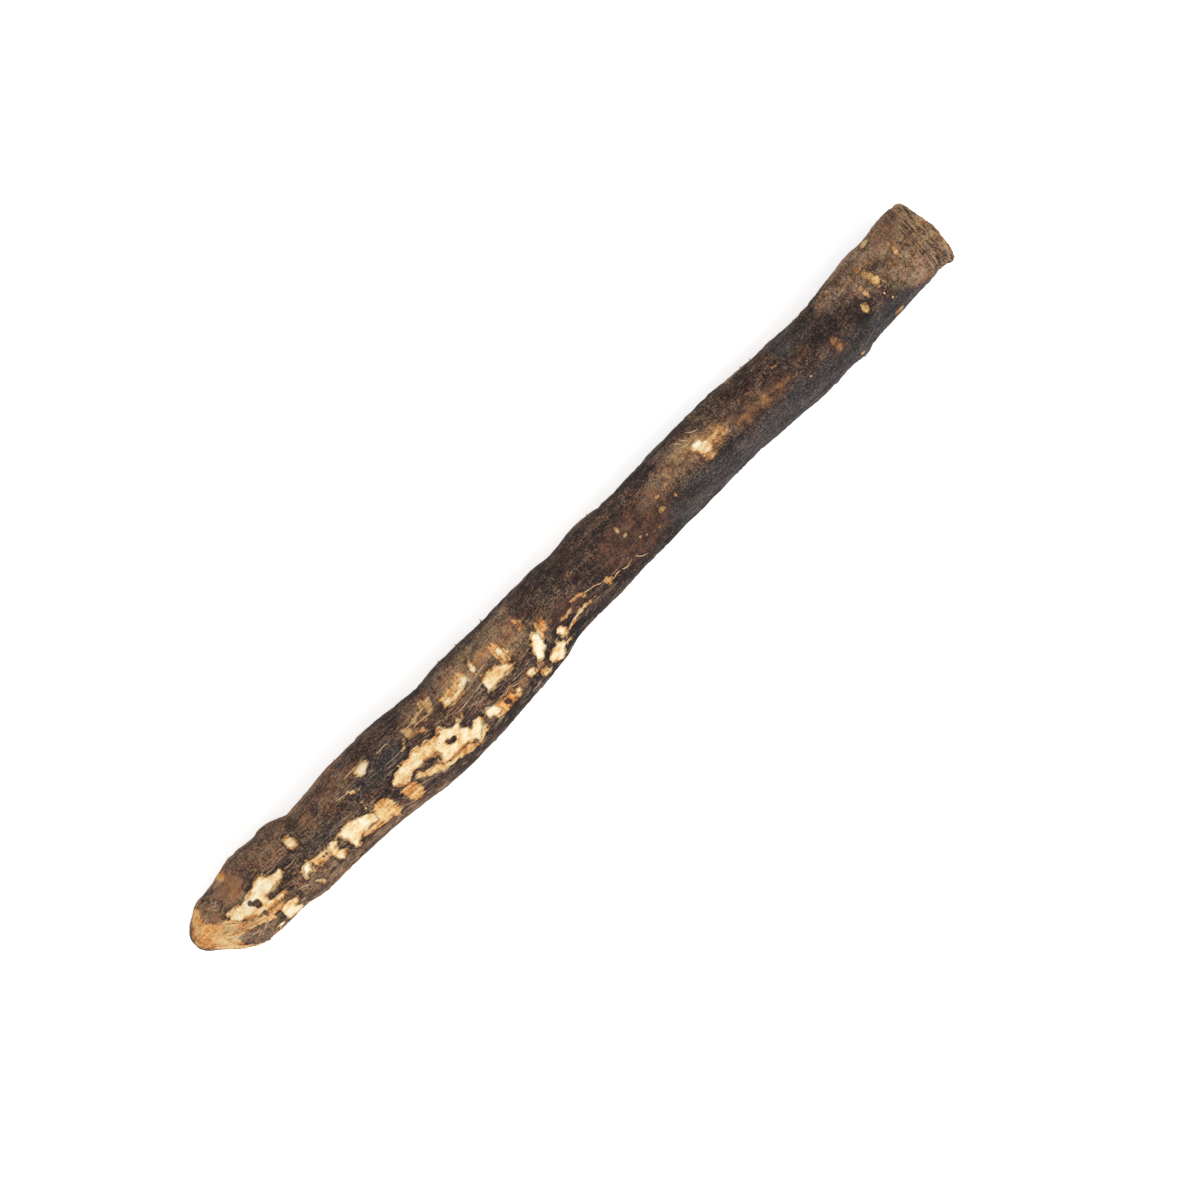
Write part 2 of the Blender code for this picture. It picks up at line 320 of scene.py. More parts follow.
# Outlines of zones: skin worn to tan, golden flesh, dusty skin, smooth and waxy skin with a painted grey-blue
# sheen, and rusty skin
BESIDE_FIRST_PATCH = (
    (9.5, -7.6), (12.6, -6.4), (15.4, -8.6), (18, -10.4), (24, -12), (20.5, -13.2), (15, -12), (10.6, -10),
)
TANNED = (
    ((-6, 10), (5, 9), (7, 6), (6, 3), (7.5, 0.5), (9.5, -3), (8, -6), (4, -8), (-6, -8)),
    BESIDE_FIRST_PATCH,
    ((9.5, 3), (13, 5.6), (17, 6.6), (20, 4), (19.5, 0), (18.5, -3.4), (13, -3.6), (11, -0.6), (9.2, 0.6)),
    ((43.6, 1.2), (49.2, 1.4), (49.6, -3), (44.4, -3.4)),
    ((98, -1), (101, 1.4), (110, 2), (120, 1.4), (131, 2.6), (132.6, 1), (132.5, -3.4), (127, -4.4),
     (120, -3), (113, -2.5), (104, -1)),
    ((133.6, -2.5), (139, -3.4), (138, -9), (134.6, -11), (134, -6)),
    ((106, -12.6), (122, -12.4), (130, -12.4), (131, -15), (118, -16.6), (106, -17)),
    ((186, -1), (196, 3.6), (205, 6.4), (212, 3.4), (217, 2.2), (217.4, -2.4), (212, -3), (208, -3.8),
     (198, -1.6)),
    ((218.6, 0.6), (226, 1), (232.6, 0), (232, -3.8), (220, -4.6)),
)
GOLDEN = (
    BESIDE_FIRST_PATCH,
    ((79, -8), (90.5, -8), (91, -12), (84, -12)),
    ((86, -13.8), (99, -14), (101, -17), (97, -18.8), (88, -18)),
    ((206.5, 1.6), (209.2, 1.4), (209, -0.6), (206.8, -0.5)),
)
DUSTY = (
    ((87, 2.6), (98, 3.8), (115, 5.4), (132.6, 6.5), (132.7, -5), (126, -7.5), (113, -4.5), (99, -1), (97, 1),
     (88, 0.8)),
    ((181, 2), (195, 5.2), (204, 6.4), (213, 4.8), (219, 2.6), (219, -2.5), (208, -3.2), (196, -1.8),
     (182, -1.8)),
    ((262, 9), (275, 13.5), (296, 16), (303, 14), (305, 0), (303, -12), (292, -10.5), (285, -6), (278, -1.2),
     (272, 1), (266, 4), (260, 6)),
)
WAXY_SHEEN = (
    ((186, -5.5), (200, -4.5), (218, -5), (240, -5), (262, -6), (283, -6.4), (290, -9.5), (285, -13),
     (262, -16), (240, -16), (200, -15), (186, -14)),
    ((62, -3), (72, -1.5), (84, -2), (84, -5.5), (76, -6.5), (66, -8.5), (58, -6.5)),
    ((37, -5), (48, -4.5), (54, -6.5), (50, -9), (38, -8.6)),
    ((241, 8.4), (247, 9), (256, 4), (250, 2), (242, 4)),
)
RUSTY = (
    ((4.4, -6.4), (7.4, -7.8), (10.4, -10.2), (14.6, -12.2), (14, -13), (9.4, -11.4), (6.2, -9.2)),
    ((12, 2), (14, 4.5), (17.5, 5.5), (20, 4), (19, 0), (18, -3.5), (13, -4), (11.5, -1)),
    ((44.5, 0.4), (48, 0.8), (48.6, -2.2), (45.2, -2.6)),
    ((52, 3.4), (59, 3), (60, 0.4), (53, 0.2)),
    ((83, -1), (97, 1.8), (98, -3.4), (92, -6), (83, -5)),
    ((139, -3.6), (146, -4.6), (153, -4.4), (153, -9.4), (140, -9.6)),
    ((172, 2), (189, 2), (190, -7), (184, -10.4), (170, -11.6), (160, -9.4), (162, -3.4)),
    ((219, 1.4), (226.5, 1.6), (228, -4.8), (219, -5.2)),
    ((228.6, 0.6), (241, 0.4), (241, -4.2), (229, -4.8)),
    ((244, 1.2), (250.2, 1.4), (250, -0.4), (244, -0.6)),
    ((254.4, -2.6), (258.9, -2), (259.4, -7.8), (254.6, -7.8)),
    ((285, 12.4), (297, 14.4), (297.4, 9), (291, 6.6), (285, 8.6)),
    ((281, 7.8), (282.6, 7.6), (282.4, 5.8), (281, 6)),
)


def finished(draft):
    """The mesh that a draft object makes with its modifiers or its thickness. The draft itself goes."""
    mesh = bpy.data.meshes.new_from_object(draft.evaluated_get(bpy.context.evaluated_depsgraph_get()))
    bpy.data.batch_remove([draft, draft.data])
    return mesh


def fine_copy(node, fineness):
    """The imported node's form as an even mesh of small faces, in its place, and sharp where it was cut."""
    bm = bmesh.new()
    bm.from_mesh(node.data)
    bmesh.ops.remove_doubles(bm, verts=bm.verts, dist=MERGE_WITHIN * MM)
    bmesh.ops.join_triangles(bm, faces=bm.faces, angle_face_threshold=math.pi, angle_shape_threshold=math.pi)
    crease = bm.edges.layers.float.new("crease_edge")
    for edge in bm.edges:
        at_cut = edge.verts[0].co.x > (CUT_STARTS - ALONG_AT_ORIGIN) * MM
        edge[crease] = CUT_CREASE if at_cut and edge.calc_face_angle(0.0) > SHARP_FROM else 0.0
    draft = new_object("draft", mesh_from(bm, "draft"))
    smoothing = draft.modifiers.new("smoothing", "SUBSURF")
    smoothing.levels = smoothing.render_levels = fineness
    return finished(draft)


def mesh_points(mesh):
    """The places of a mesh's points, one row each, in millimetres."""
    points = np.empty(len(mesh.vertices) * 3)
    mesh.vertices.foreach_get("co", points)
    return points.reshape(-1, 3) / MM


root_mesh = fine_copy(frame["nodes"]["salsify_root"], FINENESS)
points = mesh_points(root_mesh)
along = points[:, 0] + ALONG_AT_ORIGIN

# The line through the middle of the root and the half-size of its section, as (width, height), at each
# millimetre of its length. Past the last full section, where the cut slants, they stay the same
LAST_FULL_SECTION = 298.0
LEAST_GIRTH = 8.0
UNSEEN_FROM = math.radians(72)
UNSEEN_FADE = math.radians(24)
stations = np.arange(math.floor(along.min()), LAST_FULL_SECTION + 1.0)
nearest = np.clip(np.round(along - stations[0]).astype(int), 0, len(stations) - 1)
low = np.full((len(stations), 2), np.inf)
high = np.full((len(stations), 2), -np.inf)
np.minimum.at(low, nearest, points[:, 1:])
np.maximum.at(high, nearest, points[:, 1:])
section_middles = (low + high) / 2
section_halves = (high - low) / 2


def at_stations(lines, places_along):
    """Values that are known at each station, read at any places along the root."""
    return np.column_stack([np.interp(places_along, stations, line) for line in lines.T])


def section_at(places_along):
    """The middle and the half-size of the root's section, at any places along the root."""
    return at_stations(section_middles, places_along), at_stations(section_halves, places_along)


def girth_at(places_along):
    """The root's mean radius, kept from growing too small at the ends."""
    return np.maximum(at_stations(section_halves, places_along).mean(axis=1), LEAST_GIRTH)


# Each point's place on the root as if it were a straight round bar, and unrolled from its top line and from
# its bottom line. Grown is its place measured over the dome of the tip, for what runs with the fibres
middles, halves = section_at(along)
from_middle = points[:, 1:] - middles
side, rise = (from_middle / halves).T
around = np.arctan2(side, rise)
straight = np.column_stack((along, from_middle))
girth = girth_at(along)
unrolled_top = np.column_stack((along, around * girth))
unrolled_bottom = np.column_stack((along, np.arctan2(-side, -rise) * girth))
skin_steps = np.hypot(1.0, np.diff(section_halves.mean(axis=1)))
skin_length = np.concatenate(([0.0], np.cumsum(skin_steps)))
down_skin = np.interp(along, stations, skin_length) + np.maximum(along - stations[-1], 0.0)
grown = np.column_stack((down_skin, np.sin(around) * girth, np.cos(around) * girth))
turned_away = np.clip((np.abs(around) - UNSEEN_FROM) / UNSEEN_FADE, 0.0, 1.0)


def on_section(place):
    """Where places in the frame are on the upper half of the root: how far along, how far round, how high."""
    places_along = place[:, 0] + ALONG_AT_ORIGIN
    middle, half = section_at(places_along)
    turn = np.arcsin(np.clip((place[:, 1] - middle[:, 0]) / half[:, 0], -1.0, 1.0))
    return places_along, turn, middle[:, 1] + half[:, 1] * np.cos(turn)


def unroll(outline):
    """An outline read from the view, laid out as (along, round the root from its top line).

    What lies above the root's middle is nearer to the camera and looks larger, so it is brought back in.
    """
    seen = np.array(outline, float) - (ALONG_AT_ORIGIN, ACROSS_AT_ORIGIN)
    eye_height = (ROOT_MIDDLE_HEIGHT + VIEW_HEIGHT_ABOVE_ROOT) / MM
    centre = np.array(VIEW_CENTRE) / MM
    place = seen
    for _ in range(2):
        _, _, height = on_section(place)
        place = centre + (seen - centre) * (eye_height - height)[:, None] / (VIEW_HEIGHT_ABOVE_ROOT / MM)
    places_along, turn, _ = on_section(place)
    return np.column_stack((places_along, turn * girth_at(places_along)))


MARK_REACH = 4.0


def depth_inside(outlines, places):
    """How far inside the nearest outline each place is, in millimetres, and below 0 outside all of them."""
    depth = np.full(len(places), -MARK_REACH)
    for outline in outlines:
        close = np.all(
            (places > outline.min(axis=0) - MARK_REACH) & (places < outline.max(axis=0) + MARK_REACH), axis=1
        )
        spots = places[close]
        gap = np.full(len(spots), np.inf)
        inside = np.zeros(len(spots), bool)
        for start, stop in zip(outline, np.roll(outline, -1, axis=0)):
            edge = stop - start
            if not edge.any():
                continue
            share = np.clip((spots - start) @ edge / (edge @ edge), 0.0, 1.0)
            gap = np.minimum(gap, np.linalg.norm(spots - start - share[:, None] * edge, axis=1))
            if edge[1]:
                crosses = (start[1] > spots[:, 1]) != (stop[1] > spots[:, 1])
                crossing = start[0] + (spots[:, 1] - start[1]) * edge[0] / edge[1]
                inside ^= crosses & (spots[:, 0] < crossing)
        depth[close] = np.maximum(depth[close], np.where(inside, gap, -gap))
    return depth


def rough(places, sizes, seed):
    """Smooth unevenness, about -1 to 1, with lumps of the given sizes in millimetres."""
    return np.array([noise.noise(place) for place in (places / sizes + seed).tolist()])


# The marks on the sides that the view doesn't show: more scrapes towards the tip, and crosswise scars above
dice = random.Random(41)
UNSEEN_SCRAPES = 34
UNSEEN_THIN = 26
UNSEEN_SCARS = 64


def squared(part):
    """A sine or cosine pushed outwards, which turns a circle a little square."""
    return math.copysign(abs(part) ** 0.7, part)


def ragged_outline(at, length, breadth, corners=13):
    """The ragged edge of a patch, as places on the unrolled root."""
    outline = []
    for corner in range(corners):
        angle = math.tau * corner / corners
        reach = dice.uniform(0.55, 1.15) / 2
        outline.append((
            at[0] + length * reach * squared(math.cos(angle)),
            at[1] + breadth * reach * squared(math.sin(angle)),
        ))
    return np.array(outline)


def unseen_place(start, stop, lean):
    """A place on the underside or a flank, nearer to start where lean is above 1."""
    return start + (stop - start) * dice.random() ** lean, dice.uniform(-19.0, 19.0)


unseen_scraped = [
    ragged_outline(unseen_place(4, 170, 1.5), dice.uniform(2.5, 12), dice.uniform(1.5, 5))
    for _ in range(UNSEEN_SCRAPES)
]
unseen_thin = [
    ragged_outline(unseen_place(0, 210, 1.4), dice.uniform(4, 16), dice.uniform(2, 5))
    for _ in range(UNSEEN_THIN)
]
unseen_scars = [
    (dice.uniform(70, 296), dice.uniform(-12.5, 12.5), dice.uniform(0.4, 1.1), dice.uniform(0.8, 2.6),
     dice.uniform(0.1, 0.9))
    for _ in range(UNSEEN_SCARS)
]


def depth_of_marks(outlines, unseen=()):
    """How far each point is inside the outlines read from the view, or the unseen ones of the same kind."""
    seen = depth_inside([unroll(outline) for outline in outlines], unrolled_top)
    return np.maximum(seen, depth_inside(unseen, unrolled_bottom))


# How far inside the scraped and the thin patches each point is. Their edges wander, holes of dark skin are
# cut out of them, and the tip's end keeps its skin where it faces down
RAGGED = 0.42
SCAR_RAGGED = 0.34
HOLE_EDGE = 2.5
END_LENGTH = 12.0
END_SKIN_BELOW = 0.43
END_SKIN_EDGE = 4.0

edge_wander = RAGGED * rough(straight, (1.6, 1.1, 1.1), 3.1)
edge_wander += 0.5 * RAGGED * rough(straight, (0.9, 0.7, 0.7), 8.7)
left_dark = depth_of_marks(LEFT_DARK)
scraped = np.minimum(depth_of_marks(SCRAPED, unseen_scraped), -HOLE_EDGE * left_dark) + edge_wander
outward = np.empty(len(root_mesh.vertices) * 3)
root_mesh.vertex_normals.foreach_get("vector", outward)
outward = outward.reshape(-1, 3)
end_skin = END_SKIN_EDGE * (END_SKIN_BELOW - outward[:, 2]) - np.maximum(along, 0.0)
end_skin = np.where(along < END_LENGTH, end_skin, -MARK_REACH)
kept = np.maximum(HOLE_EDGE * left_dark, end_skin)
thin = np.minimum(depth_of_marks(THIN, unseen_thin), -kept) + 1.3 * edge_wander

scar_wander = SCAR_RAGGED * rough(straight, (1.1, 0.9, 0.9), 71.0)
scar = np.full(len(points), -1.0)
pale = np.zeros(len(points))
scar_places = [(unroll([mark[:2]])[0], mark[2:], unrolled_top) for mark in SCARS]
scar_places += [(mark[:2], mark[2:], unrolled_bottom) for mark in unseen_scars]
for centre, (half_long, half_broad, paleness), unrolled in scar_places:
    off = (unrolled - centre) / (half_long, half_broad)
    inside = 1.0 - np.hypot(*off.T) + scar_wander
    pale = np.where(inside > scar, paleness, pale)
    scar = np.maximum(scar, inside)


def zone(outlines, softness, unseen_share, seed):
    """How strongly a soft-edged zone shows at each point, 0 to 1. The unseen side gets patches of it too."""
    seen = np.clip(0.5 + depth_of_marks(outlines) / softness, 0.0, 1.0)
    drifts = rough(straight, (24.0, 9.0, 9.0), seed)
    unseen = np.clip((drifts + unseen_share - 0.5) * 3.0 + 0.5, 0.0, 1.0)
    return seen * (1 - turned_away) + unseen * turned_away


SOFT_EDGE = 4.0
tanned = zone(TANNED, SOFT_EDGE, 0.3, 35.5)
golden = zone(GOLDEN, SOFT_EDGE, 0.3, 45.5)
dusty = zone(DUSTY, SOFT_EDGE, 0.5, 5.5)
waxy_sheen = zone(WAXY_SHEEN, SOFT_EDGE, 0.3, 15.5)
rusty = zone(RUSTY, 0.75 * SOFT_EDGE, 0.25, 25.5)

# How brown and worn the dark skin is along the root, on its left flank, on top and on its right flank
WORN_ALONG = (-4, 30, 62, 78, 95, 130, 142, 170, 215, 245, 265, 300)
WORN_LEFT = (0.46, 0.40, 0.36, 0.16, 0.10, 0.14, 0.18, 0.12, 0.24, 0.22, 0.14, 0.32)
WORN_TOP = (0.74, 0.36, 0.38, 0.16, 0.38, 0.30, 0.18, 0.24, 0.22, 0.24, 0.04, 0.40)
WORN_RIGHT = (0.46, 0.48, 0.42, 0.28, 0.12, -0.08, -0.12, 0.00, 0.06, 0.14, 0.14, 0.06)
leftward = np.sin(around)
worn = (
    np.interp(along, WORN_ALONG, WORN_LEFT) * np.maximum(leftward, 0.0)
    + np.interp(along, WORN_ALONG, WORN_TOP) * (1 - np.abs(leftward))
    + np.interp(along, WORN_ALONG, WORN_RIGHT) * np.maximum(-leftward, 0.0)
)

# The relief of the skin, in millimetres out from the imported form
WRINKLE_HEIGHT = 0.24
LUMP_HEIGHT = 0.22
BUMP_HEIGHT = 0.12
GRAIN_HEIGHT = 0.07
SCRAPE_DEPTH = 0.30
THIN_DEPTH = 0.10
HOLE_DEPTH = 0.22
LIP_HEIGHT = 0.08
SCAR_HEIGHT = 0.16
COLLAR_HEIGHT = 0.10
RIM_HEIGHT = 0.25
RIM_STARTS, ROOT_ENDS = 298.0, 301.0

relief = WRINKLE_HEIGHT * (0.5 - np.abs(rough(straight, (13.0, 1.25, 1.25), 31.0)) * 2)
big_lumps = rough(straight, (8.0, 5.5, 5.5), 41.0)
relief += LUMP_HEIGHT * big_lumps
relief += BUMP_HEIGHT * rough(straight, (2.2, 2.6, 2.6), 51.0)
relief += GRAIN_HEIGHT * rough(straight, (1.2, 1.3, 1.3), 91.0)


def fold(at, depth, breadth, faces, half_turn, slant, phase):
    """A crease across the root, as a change of height, over the part of its girth that it faces."""
    off = np.angle(np.exp(1j * (around - faces)))
    wander = slant * off + 0.55 * np.sin(3 * around + phase) + 0.25 * np.sin(8 * around + 2 * phase)
    fade = np.clip((half_turn - np.abs(off)) / 0.5, 0.0, 1.0)
    crease = -depth * np.exp(-(((along - at - wander) / breadth) ** 2))
    swell = 0.45 * depth * np.exp(-(((along - at - wander - 1.8 * breadth) / (1.3 * breadth)) ** 2))
    return fade * (crease + swell)


# The creases that the view shows, as (along, depth, breadth, faces, half turn), many fine ones all over,
# finer ones close together under the crown, and the groove under the rim, which goes all the way round
FOLDS = ((31.5, 0.30, 0.7, 0.3, 2.0), (132.7, 0.22, 0.7, 0.2, 1.3), (42.0, 0.35, 1.6, 1.2, 0.8))
for at, depth, breadth, faces, half_turn in FOLDS:
    relief += fold(at, depth, breadth, faces, half_turn, 0.2, at)
FINE_FOLDS = (
    (58, (14, 262), (0.08, 0.24), (0.45, 1.0), (0.6, 1.9), 0.5),
    (30, (255, 298), (0.06, 0.15), (0.4, 0.7), (0.8, 2.4), 0.3),
)
for count, reach, depths, breadths, half_turns, slant in FINE_FOLDS:
    for _ in range(count):
        relief += fold(
            dice.uniform(*reach), dice.uniform(*depths), dice.uniform(*breadths),
            dice.uniform(-math.pi, math.pi), dice.uniform(*half_turns), dice.uniform(-slant, slant),
            dice.uniform(0, math.tau),
        )
relief += fold(297.6, 0.32, 0.6, 0.0, 9.0, 0.0, 0.6)


def smooth_step(values, low, high):
    """0 where the values are under low, 1 where they are over high, and a smooth change between."""
    share = np.clip((values - low) / (high - low), 0.0, 1.0)
    return share * share * (3 - 2 * share)


# Painted shade: how deep each point lies in the wrinkles, bumps and creases, 0 to 1. The skin's colours are
# darker where this is high, in the creases, and lighter where it is low, on the ridges.
painted_crease_shade = np.clip(0.5 - 1.4 * (relief - LUMP_HEIGHT * big_lumps), 0.0, 1.0)
relief -= SCRAPE_DEPTH * smooth_step(scraped, -0.1, 0.7) + THIN_DEPTH * smooth_step(thin, -0.2, 0.5)
relief += LIP_HEIGHT * smooth_step(scraped, -0.9, -0.2) * (1 - smooth_step(scraped, -0.2, 0.2))
relief -= HOLE_DEPTH * smooth_step(left_dark, -0.3, 0.4)
relief += SCAR_HEIGHT * smooth_step(scar, -0.3, 0.3) - 1.6 * SCAR_HEIGHT * smooth_step(scar, 0.62, 0.95)
relief += RIM_HEIGHT * smooth_step(along, RIM_STARTS, ROOT_ENDS) * rough(straight, (1.5, 1.6, 1.6), 61.0)
relief += COLLAR_HEIGHT * smooth_step(along, 287.0, 296.0) * rough(straight, (0.8, 7.0, 7.0), 81.0)

points += outward * relief[:, None]
points = np.clip(points, np.array(cad_box[0]) / MM, np.array(cad_box[1]) / MM)
root_mesh.vertices.foreach_set("co", (points * MM).ravel())
root_mesh.update()

# Each point keeps its places and values, for the materials to read. The skin is threadbare towards the tip
# and on the right flank, dust is brushed across only below the middle, and the collar is under the crown
threadbare = np.interp(along, (0.0, 120.0, 180.0), (1.0, 0.8, 0.1)) * (0.55 - 0.45 * leftward)
kept_values = {
    "straight": straight,
    "grown": grown,
    "out_from_core": np.hypot(side, rise),
    "scraped": scraped,
    "thin": thin,
    "left_dark": left_dark,
    "scar": scar,
    "pale": pale,
    "tanned": tanned,
    "golden": golden,
    "dusty": dusty,
    "waxy_sheen": waxy_sheen,
    "rusty": rusty,
    "worn": worn,
    "painted_crease_shade": painted_crease_shade,
    "brushed": dusty * (1 - smooth_step(along, 134.0, 142.0)),
    "threadbare": np.maximum(threadbare, 0.9 * (1 - smooth_step(along, 9.0, 16.0))),
    "collar": smooth_step(along, 289.0, 297.0),
    "rim": smooth_step(along, 298.6, 300.4),
}
for name, values in kept_values.items():
    kind, field = ("FLOAT_VECTOR", "vector") if values.ndim == 2 else ("FLOAT", "value")
    attribute = root_mesh.attributes.new(name, kind, "POINT")
    attribute.data.foreach_set(field, values.astype(np.float32).ravel())


# The skin and the flesh, as one material
SCENE_LIGHT = 1.2


def paint(red, green, blue):
    """The surface colour that looks like this on a screen, 0 to 255, in the light of this scene."""
    return tuple(((part / 255 + 0.055) / 1.055) ** 2.4 / SCENE_LIGHT for part in (red, green, blue)) + (1.0,)


def palette(*stops):
    """Colours that run into each other, each given as (where it stands, red, green, blue)."""
    return [(at, paint(*colour)) for at, *colour in stops]


SKIN_SHADES = palette((0.10, 27, 21, 21), (0.40, 61, 47, 41), (0.62, 97, 73, 57), (0.95, 160, 126, 96))
DUST_SHADES = palette((0.10, 62, 46, 37), (0.45, 124, 95, 71), (0.85, 186, 152, 116))
# The grey-blue of the waxy skin is a painted sheen
SHEEN_SHADES = palette((0.10, 32, 28, 28), (0.50, 68, 62, 59), (0.90, 112, 104, 98))
THIN_SHADES = palette((0.12, 120, 64, 36), (0.38, 196, 120, 62), (0.62, 230, 170, 98), (0.92, 250, 218, 160))
FLESH_SHADES = palette(
    (0.05, 204, 138, 76), (0.26, 232, 186, 122), (0.52, 247, 221, 172), (0.90, 254, 246, 222),
)
TAN_SHADES = palette((0.10, 104, 70, 50), (0.45, 146, 108, 76), (0.90, 208, 160, 106))
SCAR_SHADES = palette((0.05, 92, 58, 38), (0.32, 156, 100, 56), (0.58, 212, 160, 96), (0.90, 250, 222, 166))
DARKEST = SKIN_SHADES[0][1]
RUST = paint(120, 78, 58)
STAIN = paint(176, 112, 62)
THREAD = paint(206, 172, 138)
DOT = paint(176, 158, 140)
REDDER = (1.16, 0.93, 0.86, 1.0)
BLUSH = (1.06, 0.84, 0.66, 1.0)
GREENER = (1.00, 1.03, 0.86, 1.0)
BLUER = (0.86, 0.88, 1.00, 1.0)
GREYER = (0.94, 0.98, 1.10, 1.0)


def blend(tree, mask, under, over, how="MIX"):
    """Lays one colour over another where the mask is 1."""
    inputs = {0: mask, 6: under, 7: over}
    return put(tree, "ShaderNodeMix", inputs, data_type="RGBA", blend_type=how).outputs[2]


def tint(tree, mask, under, over):
    """Multiplies one colour by another where the mask is 1."""
    return blend(tree, mask, under, over, "MULTIPLY")


def ease(tree, value, low, high, start=0.0, stop=1.0):
    """Start where the value is under low, stop where it is over high, and a smooth change between."""
    inputs = {"Value": value, "From Min": low, "From Max": high, "To Min": start, "To Max": stop}
    return put(tree, "ShaderNodeMapRange", inputs, interpolation_type="SMOOTHSTEP").outputs["Result"]


def grain_group():
    """The grain that all the materials share, as a node group: unevenness from 0 to 1, fine or coarse."""
    group = bpy.data.node_groups.new("grain", "ShaderNodeTree")
    for name in ("Place", "Fineness", "Seed"):
        group.interface.new_socket(name, in_out="INPUT", socket_type="NodeSocketVector")
    for name in ("Detail", "Roughness"):
        group.interface.new_socket(name, in_out="INPUT", socket_type="NodeSocketFloat")
    group.interface.new_socket("Unevenness", in_out="OUTPUT", socket_type="NodeSocketFloat")
    given = put(group, "NodeGroupInput", {}).outputs
    inputs = {0: given["Place"], 1: given["Fineness"], 2: given["Seed"]}
    scaled = put(group, "ShaderNodeVectorMath", inputs, operation="MULTIPLY_ADD").outputs[0]
    inputs = {"Vector": scaled, "Scale": 1.0, "Detail": given["Detail"], "Roughness": given["Roughness"]}
    uneven = put(group, "ShaderNodeTexNoise", inputs).outputs[0]
    put(group, "NodeGroupOutput", {"Unevenness": uneven})
    return group


GRAIN = grain_group()


def grain(tree, place, sizes, detail, seed, roughness=0.6):
    """Grain in a material, with lumps of the given sizes in the units of the place."""
    inputs = {
        "Place": place, "Fineness": [1 / size for size in sizes], "Seed": [seed] * 3, "Detail": detail,
        "Roughness": roughness,
    }
    return put(tree, "ShaderNodeGroup", inputs, node_tree=GRAIN).outputs["Unevenness"]


def mixture(tree, base, *parts):
    """The base plus each part's value times its weight."""
    for value, weight in parts:
        base = calc(tree, "MULTIPLY_ADD", value, weight, base)
    return base


def shades(tree, value, stops):
    """The colour that stands at a value, between colours given as (value, colour)."""
    ramp = put(tree, "ShaderNodeValToRGB", {0: value})
    for number, (at, colour) in enumerate(stops):
        stop = ramp.color_ramp.elements[number] if number < 2 else ramp.color_ramp.elements.new(at)
        stop.position, stop.color = at, colour
    return ramp.outputs[0]


def stored(tree, name, output="Fac"):
    """What the points of the mesh keep under this name."""
    return put(tree, "ShaderNodeAttribute", {}, attribute_name=name).outputs[output]


